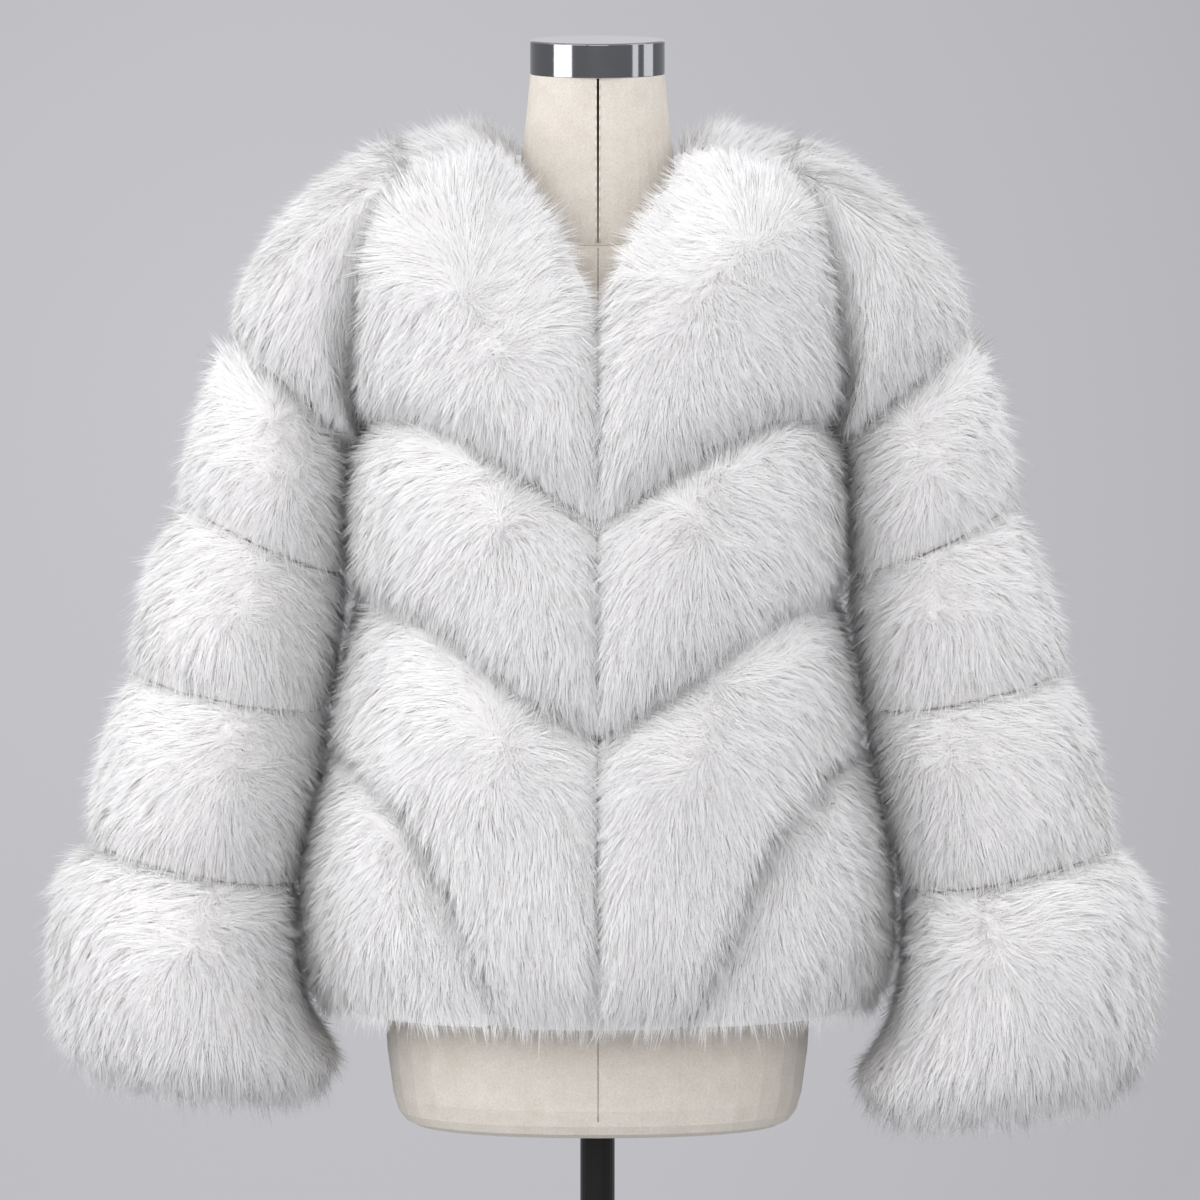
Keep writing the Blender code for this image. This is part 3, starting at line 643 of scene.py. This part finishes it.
def ribbon(name, node, x, ends, widths, material, proud):
    """A strip down the front of a node, at one x, from its upper to its lower end."""
    bpy.ops.object.select_all(action="DESELECT")
    (z_high, z_low), (width_high, width_low) = ends, widths
    middle, height = (z_high + z_low) / 2, z_high - z_low
    place = (x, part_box(node)[0][1] - STAND_OFF, middle)
    bpy.ops.mesh.primitive_plane_add(size=1, location=place, rotation=(math.pi / 2, 0, 0))
    strip = bpy.context.object
    strip.name = strip.data.name = name
    strip.scale = (width_high, height, 1)
    bpy.ops.object.transform_apply(location=True, rotation=True, scale=True)
    bpy.ops.object.mode_set(mode="EDIT")
    mesh = bmesh.from_edit_mesh(strip.data)
    for vert in mesh.verts:
        if vert.co.z < middle:
            vert.co.x = x + (vert.co.x - x) * width_low / width_high
    for edge in mesh.edges:
        edge.select_set(abs(edge.verts[0].co.z - edge.verts[1].co.z) > height / 2)
    bmesh.update_edit_mesh(strip.data)
    bpy.ops.mesh.subdivide(number_cuts=max(int(height / STEP), 2))
    bpy.ops.object.mode_set(mode="OBJECT")
    apply(
        strip,
        "SHRINKWRAP",
        target=nodes[node],
        wrap_method="PROJECT",
        use_project_y=True,
        use_negative_direction=False,
        use_positive_direction=True,
    )
    apply(strip, "SOLIDIFY", thickness=2 * proud, offset=0)
    strip.data.materials.append(material)
    strip.data.shade_smooth()
    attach(strip, "root")


neck_low, neck_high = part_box("form_neck")
GAP_X, LEFT_X, RIGHT_X = 0.0004, -0.0010, 0.0018
NECK_ENDS = (neck_high[2] - 0.5 * MM, neck_low[2] + 2 * MM)
TORSO_ENDS = (1.3285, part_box("form_torso")[0][2] + 14 * MM)
GAP_WIDTHS, THREAD_WIDTHS = (1.9 * MM, 0.8 * MM), (0.9 * MM, 0.9 * MM)
# the gap's painted shade, the pale threads beside it, and the seam's painted shadow
ribbon("neck_gap_painted_shade", "form_neck", GAP_X, NECK_ENDS, GAP_WIDTHS, gap_shade_material, 0.25 * MM)
ribbon("neck_gap_thread_left", "form_neck", LEFT_X, NECK_ENDS, THREAD_WIDTHS, thread_material, 0.30 * MM)
ribbon("neck_gap_thread_right", "form_neck", RIGHT_X, NECK_ENDS, THREAD_WIDTHS, thread_material, 0.30 * MM)
ribbon("torso_centre_seam_painted_shadow", "form_torso", GAP_X, TORSO_ENDS, THREAD_WIDTHS, seam_shadow_material, 0.20 * MM)

# %% [markdown]
# ## The neck cap
#
# The cap is a turned and polished steel lid. Its side mirrors the studio's lamps as upright bars, and
# its top is brushed, so it shows an even grey. It is a cylinder of the node's size whose top edge is
# rounded by a bevel; the top face gets the brushed finish.

# %% Polished and brushed steel
steel_material, tree, output = new_material("polished_steel_side")
smears = noise(tree, 12 * MM, 2.0)
rough = add(tree, "ShaderNodeMapRange", {"Value": smears, "To Min": 0.06, "To Max": 0.12}).outputs["Result"]
finish_material(tree, output, {"Base Color": linear("#808184"), "Metallic": 1.0, "Roughness": rough})

brushed_material, tree, output = new_material("brushed_steel_top")
place = add(tree, "ShaderNodeTexCoord")
long_way = add(tree, "ShaderNodeMapping", {"Vector": place.outputs["Object"], "Scale": (0.05, 1.0, 1.0)})
line_sockets = {"Vector": long_way.outputs["Vector"], "Scale": 1 / (0.8 * MM), "Detail": 2.0}
level = add(tree, "ShaderNodeTexNoise", line_sockets).outputs["Fac"]
rough = add(tree, "ShaderNodeMapRange", {"Value": level, "To Min": 0.32, "To Max": 0.45}).outputs["Result"]
tone = ramp_of(tree, level, (0.3, "#b3b3b5"), (0.7, "#bdbdbf"))
finish_material(tree, output, {"Base Color": tone, "Metallic": 1.0, "Roughness": rough})

# %% Turn the cap
cap_low, cap_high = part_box("neck_cap")
CAP_ROUND = 1.3 * MM
TOP_EDGE, TOP_FACE = 0.9, 0.97  # how far up a face looks beside the top edge, and on the brushed top
bpy.ops.object.select_all(action="DESELECT")
bpy.ops.mesh.primitive_cylinder_add(
    vertices=128,
    radius=(cap_high[0] - cap_low[0]) / 2,
    depth=cap_high[2] - cap_low[2],
    location=[(a + b) / 2 for a, b in zip(cap_low, cap_high)],
)
cap = bpy.context.object
cap.name = cap.data.name = "turned_neck_cap"
cap.scale = (1, (cap_high[1] - cap_low[1]) / (cap_high[0] - cap_low[0]), 1)
bpy.ops.object.transform_apply(location=True, rotation=True, scale=True)
bpy.ops.object.mode_set(mode="EDIT")
bpy.ops.mesh.select_all(action="DESELECT")
mesh = bmesh.from_edit_mesh(cap.data)
for edge in mesh.edges:
    if any(f.normal.z > TOP_EDGE for f in edge.link_faces):
        edge.select_set(True)
bmesh.update_edit_mesh(cap.data)
bpy.ops.mesh.bevel(offset=CAP_ROUND, segments=5)
bpy.ops.object.mode_set(mode="OBJECT")
cap.data.materials.append(steel_material)
cap.data.materials.append(brushed_material)
for face in cap.data.polygons:
    face.material_index = 1 if face.normal.z > TOP_FACE else 0
only(cap)
bpy.ops.object.shade_smooth_by_angle(angle=math.radians(30))
apply(cap, "WEIGHTED_NORMAL", keep_sharp=True)  # so that the side mirrors as a true cylinder
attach(cap, "root")
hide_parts("neck_cap")

# %% [markdown]
# ## Pole and base
#
# The pole is a steel tube and the base a steel plate, both coated in a black stove enamel. Its gloss is
# slightly uneven, as a sprayed coat is (orange peel about 4 mm across), and it shows the lamps as long
# soft lines.

# %% Black enamel
enamel_material, tree, output = new_material("black_stove_enamel")
peel = noise(tree, 4 * MM, 1.0)
rough = add(tree, "ShaderNodeMapRange", {"Value": peel, "To Min": 0.26, "To Max": 0.32}).outputs["Result"]
enamel = {
    "Base Color": linear("#0c0c0d"),
    "Roughness": rough,
    "Specular IOR Level": 0.28,
    "Normal": bumpy(tree, peel, 0.08, 0.1 * MM),
}
finish_material(tree, output, enamel)
dress("pole", enamel_material)
dress("base_plate", enamel_material)

# %% [markdown]
# ## Studio: floor, lamps and camera
#
# The floor is a large pale plane whose colour holds a painted pool of light: a little lighter to the left
# behind the jacket than at the right, as a real floor is under one key lamp. Soft light comes from all
# round. The key softbox stands high at the left front, one more softbox lights each side from above,
# and a wide one fills in from the front.
# Low strips at both sides are what the steel and the enamel mirror. The camera stands far off with a
# long lens, tilted down by 6 degrees.

# %% Floor. Its painted pool of light follows the picture's plane: a place is divided by its distance from the camera
CAMERA_BACK, CAMERA_UP = 9.945, 2.104  # the camera's distance along Y and its height
LENS_SHARE = 11.11  # the lens's length as a share of the sensor's width
# the floor's painted pool of light is centred here, left of the middle
PAINTED_LIGHT_SPOT = (0.25, -0.978, 0)  # moves the lightest spot to the left of the middle
bpy.ops.object.select_all(action="DESELECT")
bpy.ops.mesh.primitive_plane_add(size=140, location=(0, 0, -0.0005))
floor = bpy.context.object
floor.name = "floor"
bpy.ops.object.transform_apply(location=True)
floor_material, tree, output = new_material("pale_grey_floor_painted_light_pool")
place = add(tree, "ShaderNodeTexCoord")
apart = add(tree, "ShaderNodeSeparateXYZ", {"Vector": place.outputs["Object"]})
far = add(tree, "ShaderNodeMath", {0: apart.outputs["Y"], 1: CAMERA_BACK}, operation="ADD")
across = add(tree, "ShaderNodeMath", {0: apart.outputs["X"], 1: far.outputs[0]}, operation="DIVIDE")
down = add(tree, "ShaderNodeMath", {0: CAMERA_UP, 1: far.outputs[0]}, operation="DIVIDE")
both = add(tree, "ShaderNodeCombineXYZ", {"X": across.outputs[0], "Y": down.outputs[0]})
spot = {"Vector": both.outputs["Vector"], "Location": PAINTED_LIGHT_SPOT, "Scale": (LENS_SHARE, LENS_SHARE, 1)}
centred = add(tree, "ShaderNodeMapping", spot).outputs["Vector"]
painted_light_pool = add(tree, "ShaderNodeTexGradient", {"Vector": centred}, gradient_type="SPHERICAL")
# painted light: the floor's colour is lightest in the pool and darker away from it
stops = (0.0, "#b3b3b5"), (1.0, "#cbcbcd"), (0.27, "#bcbcbe"), (0.70, "#c6c6c8")
tone = ramp_of(tree, painted_light_pool.outputs["Fac"], *stops)
finish_material(tree, output, {"Base Color": tone, "Roughness": 0.9, "Specular IOR Level": 0.0})
floor.data.materials.append(floor_material)

# %% Light from all round
WORLD_STRENGTH = 1.05
world = bpy.data.worlds.new("studio")
bpy.context.scene.world = world
world.use_nodes = True
world.node_tree.nodes["Background"].inputs["Color"].default_value = linear("#f4f4f7")
world.node_tree.nodes["Background"].inputs["Strength"].default_value = WORLD_STRENGTH

# %% Lamps: name, place, what it looks at, width, height, watts
LAMPS = [
    ("key", (-2.6, -3.2, 3.3), (0, 0, 1.1), 3.0, 2.4, 56),
    ("side_left", (-3.6, -0.8, 3.0), (0, 0, 1.2), 2.4, 2.0, 20),
    ("side_right", (3.6, -0.8, 3.0), (0, 0, 1.2), 2.4, 2.0, 26),
    ("front_fill", (0.2, -6.5, 2.7), (0, 0, 1.0), 4.0, 2.4, 105),
    ("strip_left", (-2.65, -1.41, 1.25), (0, 0, 1.25), 1.9, 0.5, 15),
    ("strip_right", (2.78, -1.12, 1.25), (0, 0, 1.25), 0.6, 0.5, 2),
    ("strip_right_rear", (2.97, 0.42, 1.25), (0, 0, 1.25), 1.25, 0.5, 4),
]
for name, place, target, width, height, power in LAMPS:
    light = bpy.data.lights.new(name, "AREA")
    light.shape, light.size, light.size_y, light.energy = "RECTANGLE", width, height, power
    lamp = bpy.data.objects.new(name, light)
    lamp.location = place
    lamp.rotation_euler = (Vector(target) - Vector(place)).to_track_quat("-Z", "Y").to_euler()
    lamp.visible_camera = False
    bpy.context.scene.collection.objects.link(lamp)

# %% Camera
CAMERA_TARGET = Vector((0.0019, 0, 1.05925))
CAMERA_DISTANCE = 10.0
CAMERA_TILT = math.radians(6)
camera_data = bpy.data.cameras.new("camera")
camera_data.lens = 400
camera_data.sensor_width = 36
camera = bpy.data.objects.new("camera", camera_data)
camera.location = CAMERA_TARGET + CAMERA_DISTANCE * Vector((0, -math.cos(CAMERA_TILT), math.sin(CAMERA_TILT)))
camera.rotation_euler = (math.pi / 2 - CAMERA_TILT, 0, 0)
bpy.context.scene.collection.objects.link(camera)
bpy.context.scene.camera = camera
bpy.context.scene.view_settings.view_transform = "Standard"
bpy.context.scene.cycles.max_bounces = 5
bpy.context.scene.cycles.diffuse_bounces = 3  # light is thrown on from hair to hair three times
